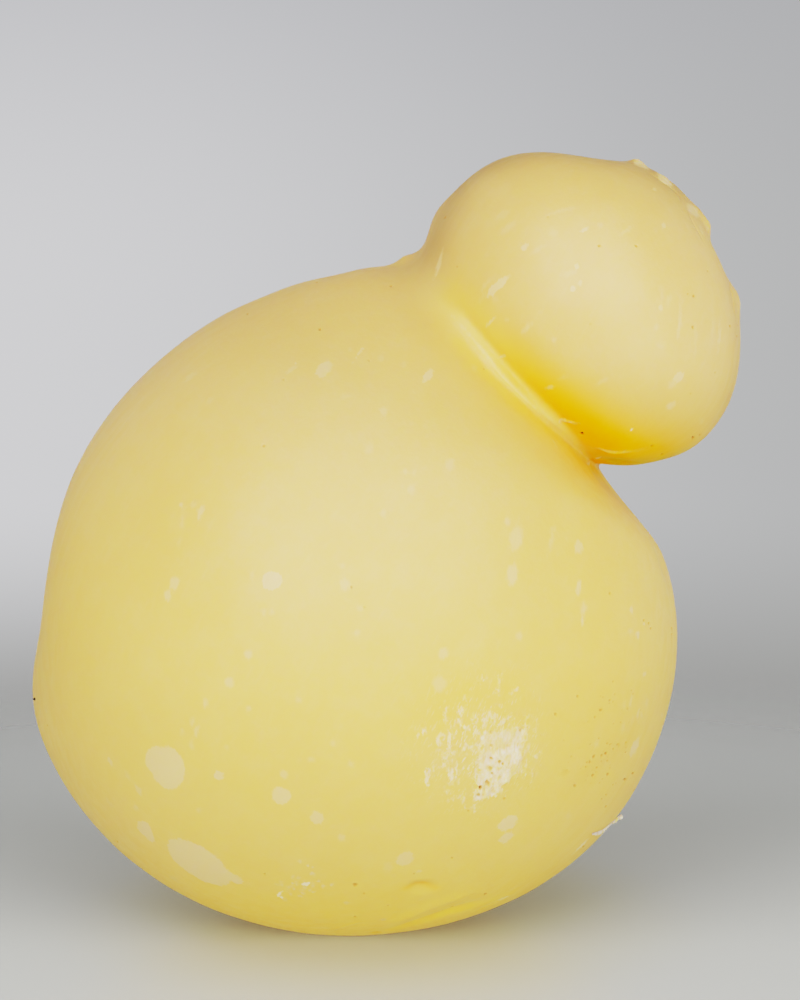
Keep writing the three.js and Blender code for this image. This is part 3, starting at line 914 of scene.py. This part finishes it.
class Nodes:
    """Builds one node tree. An input is a constant, or the output of a node made before."""

    def __init__(self, tree):
        self.tree = tree

    def fill(self, node, inputs):
        for name, value in inputs.items():
            if isinstance(value, bpy.types.NodeSocket):
                self.tree.links.new(value, node.inputs[name])
            else:
                node.inputs[name].default_value = value

    def add(self, kind, inputs=(), output=0, **settings):
        node = self.tree.nodes.new("ShaderNode" + kind)
        for name, value in settings.items():
            setattr(node, name, value)
        self.fill(node, dict(inputs))
        return node.outputs[output]

    def blend(self, share, start, end, how="MIX"):
        return self.add("Mix", {0: share, 6: start, 7: end}, 2, data_type="RGBA", blend_type=how)

    def between(self, share, start, end):
        return self.add("Mix", {0: share, 2: start, 3: end}, data_type="FLOAT")

    def math(self, operation, first, second):
        return self.add("Math", {0: first, 1: second}, operation=operation)

    def plus(self, first, second):
        return self.math("ADD", first, second)

    def times(self, first, second):
        return self.math("MULTIPLY", first, second)

    def ramp(self, value, low, high, start=0.0, end=1.0):
        inputs = {"Value": value, "From Min": low, "From Max": high, "To Min": start, "To Max": end}
        return self.add("MapRange", inputs, interpolation_type="SMOOTHSTEP")

    def noise(self, place, wavelength, detail, roughness=0.5):
        inputs = {"Vector": place, "Scale": 1 / (wavelength * MM), "Detail": detail, "Roughness": roughness}
        return self.add("TexNoise", inputs)

    def pattern(self, place, name):
        pattern = PATTERNS[name]
        value = self.noise(place, pattern.wavelength, pattern.detail, pattern.roughness)
        return self.ramp(value, pattern.low, pattern.high, pattern.start, pattern.end)

    def relief(self, place, wavelength, detail, rise):
        return self.times(self.noise(place, wavelength, detail), rise * MM)

    def stretched(self, place, length, lean=0.0):
        """Coordinates in which patterns are longer upwards, or along a line that leans over to the right."""
        inputs = {"Vector": place, "Rotation": (0, lean, 0), "Scale": (1, 1, length)}
        return self.add("Mapping", inputs, vector_type="TEXTURE")

    def attribute(self, name):
        return self.add("Attribute", output="Fac", attribute_name=name)


def new_material(name):
    material = bpy.data.materials.new(name)
    material.use_nodes = True
    return material, Nodes(material.node_tree), material.node_tree.nodes["Principled BSDF"]


def rind_colour(nodes, place, streaked):
    """The rind's own colour, and its tints, most of which are painted light and shade."""
    height = nodes.add("SeparateXYZ", {"Vector": place}, output="Z")
    colour = nodes.blend(nodes.pattern(place, "lemon patches"), RIND, LEMON)
    colour = nodes.blend(nodes.ramp(height, *TAN_HEIGHTS), colour, TAN)
    # painted golden glow at the base, for light bounced up from the floor
    colour = nodes.blend(nodes.ramp(height, *PAINTED_GOLDEN_BASE), colour, PAINTED_GOLDEN_GLOW)
    colour = nodes.blend(nodes.pattern(place, "haze"), colour, PALE)
    colour = nodes.blend(nodes.pattern(streaked, "streaks"), colour, PALE)
    for tint, tone in TINT_COLOURS.items():
        colour = nodes.blend(nodes.attribute(tint), colour, tone)
    # painted shade on the head
    return nodes.blend(nodes.attribute("dull"), colour, PAINTED_SHADE, "MULTIPLY")


def brine_and_painted_highlights(nodes, place):
    """How much the pale spots cover the rind, and their colour: dried salt crust, and on the neck's roll
    painted highlights.
    """
    broken = nodes.pattern(nodes.stretched(place, UPRIGHT), "broken edge")
    ragged = nodes.plus(nodes.pattern(place, "ragged edge"), broken)
    amount = nodes.attribute("pale_amount")
    softness = nodes.ramp(amount, *SPOT_SOFTNESS)
    spot = nodes.ramp(nodes.plus(nodes.attribute("pale"), ragged), nodes.times(softness, -1), softness)
    spot_colour = nodes.blend(nodes.ramp(amount, *WHITEST_SPOTS), PALE, SCRAPED)
    return nodes.times(spot, amount), spot_colour


def scraping(nodes, place):
    """How much of the rind is scraped off, by the strokes and by fine scratches round them."""
    fibrous = nodes.stretched(place, FIBROUS)
    depth = nodes.plus(nodes.attribute("scraped"), nodes.pattern(fibrous, "torn edge"))
    mottled = nodes.times(nodes.pattern(fibrous, "fine mottling"), nodes.pattern(fibrous, "mottling"))
    amount = nodes.times(nodes.attribute("scraped_amount"), mottled)
    strokes = nodes.times(nodes.ramp(depth, *TORN_EDGE), amount)
    combed = nodes.stretched(place, COMBED, COMBED_LEAN)
    scratches = nodes.times(nodes.pattern(combed, "scratches"), nodes.pattern(place, "patches"))
    return nodes.math("MAXIMUM", strokes, nodes.times(scratches, nodes.attribute("scuffed")))


def rind_material():
    """A satin rind that lets some light in, with its marks and its painted light and shade."""
    material, nodes, shader = new_material("rind")
    place = nodes.add("TexCoord", output="Object")
    streaked = nodes.stretched(place, STREAKED, BODY_LEAN)
    spot, spot_colour = brine_and_painted_highlights(nodes, place)
    scraped = scraping(nodes, place)
    pinhole = nodes.attribute("pinhole")
    colour = nodes.blend(spot, rind_colour(nodes, place, streaked), spot_colour)
    colour = nodes.blend(scraped, colour, SCRAPED)
    dark = nodes.blend(nodes.ramp(pinhole, *SOOTY), BROWN, SOOT)
    roughness = nodes.between(spot, nodes.pattern(streaked, "roughness"), SPOT_ROUGHNESS)
    height = nodes.plus(nodes.relief(place, *SKIN), nodes.relief(streaked, *GRAIN))
    nodes.fill(shader, {
        "Base Color": nodes.blend(pinhole, colour, dark),
        "Roughness": nodes.between(scraped, roughness, SCRAPED_ROUGHNESS),
        "Normal": nodes.add("Bump", {"Strength": 1.0, "Distance": 1.0, "Height": height}),
        "Subsurface Weight": nodes.ramp(pinhole, *SCATTERING),
        "Subsurface Radius": SCATTER_RADIUS,
        "Subsurface Scale": SCATTER_SCALE,
        "Specular IOR Level": SPECULAR,
    })
    return material


def add_floor():
    """A pale disc under the cheese that fades into the room with distance; it glows, warmer near the cheese as
    painted bounce light.
    """
    form = bmesh.new()
    bmesh.ops.create_circle(form, cap_ends=True, segments=FLOOR["sides"], radius=FLOOR["radius"])
    mesh = mesh_of(form, "floor")
    material, nodes, shader = new_material("floor")
    place = nodes.add("TexCoord", output="Object")
    away = nodes.add("VectorMath", {0: place}, "Value", operation="LENGTH")
    near = nodes.ramp(away, *FLOOR["near"])
    nodes.fill(shader, {
        "Base Color": nodes.blend(near, *FLOOR["colours"]),
        # painted glow: the cheese's warm bounce light near it
        "Emission Color": nodes.blend(near, *FLOOR["glow"]),
        "Emission Strength": 1,
        "Roughness": FLOOR["roughness"],
        "Alpha": nodes.ramp(away, *FLOOR["fade"]),
    })
    mesh.materials.append(material)
    floor = add_object("floor", mesh)
    floor.visible_shadow = False


def add_light(row):
    turn, height = math.radians(row.turn), math.radians(row.height)
    level = math.cos(height)
    towards = Vector((math.sin(turn) * level, -math.cos(turn) * level, math.sin(height)))
    data = bpy.data.lights.new(row.name, "AREA")
    data.shape = "RECTANGLE"
    data.size, data.size_y = row.size
    data.energy = row.brightness * math.pi * row.size[0] * row.size[1]
    light = add_object(row.name, data)
    aim(light, LOOK_AT + towards * row.distance, -towards)
    light.visible_camera = False
    light.visible_glossy = row.glossy
    if row.only:
        lit = bpy.data.collections.new(row.name + "_receivers")
        for receiver in row.only:
            lit.objects.link(bpy.data.objects[receiver])
        light.light_linking.receiver_collection = lit


def add_room():
    """Plain pale surroundings: brightest about the horizon, darker overhead and to the right."""
    world = bpy.data.worlds.new("room")
    world.use_nodes = True
    nodes = Nodes(world.node_tree)
    direction = nodes.add("TexCoord", output="Generated")
    across, behind, up = (nodes.add("SeparateXYZ", {"Vector": direction}, axis) for axis in "XYZ")

    def turned(value, name):
        return nodes.ramp(value, *ROOM_TURNS[name])

    back = nodes.blend(turned(across, "right"), ROOM["back left"], ROOM["back right"])
    back = nodes.blend(turned(up, "below"), back, ROOM["back below"])
    colour = nodes.blend(turned(behind, "behind"), ROOM["front"], back)
    colour = nodes.blend(turned(up, "overhead"), colour, ROOM["overhead"])
    left_wall = nodes.blend(turned(up, "left wall above"), ROOM["left wall below"], ROOM["left wall above"])
    leftness = nodes.times(turned(across, "left wall"), turned(behind, "left wall behind"))
    colour = nodes.blend(leftness, colour, left_wall)
    nodes.fill(world.node_tree.nodes["Background"], {"Color": colour})
    bpy.context.scene.world = world


def set_film():
    """A photograph's tone curve: deeper shadows and softer highlights than the bare light."""
    view = bpy.context.scene.view_settings
    view.view_transform = "Standard"
    view.use_curve_mapping = True
    view.curve_mapping.extend = "EXTRAPOLATED"
    curve = view.curve_mapping.curves[ALL_CHANNELS]
    curve.points[0].location, curve.points[1].location = FILM[0], FILM[-1]
    for light, shown in FILM[1:-1]:
        curve.points.new(light, shown)
    view.curve_mapping.update()


add_camera()
cheese = fine_copy(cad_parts["cheese"], "rind")
fill_neck(cheese.data)
weather(cheese.data)
rind = rind_material()
cheese.data.materials.clear()
cheese.data.materials.append(rind)
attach(cheese, "root")
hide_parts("cheese")
shaving = add_shaving(surface_of(cheese.data), np.random.default_rng(SEED))
shaving.data.materials.append(rind)
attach(shaving, "root")
add_floor()
for row in LIGHTS:
    add_light(row)
add_room()
set_film()
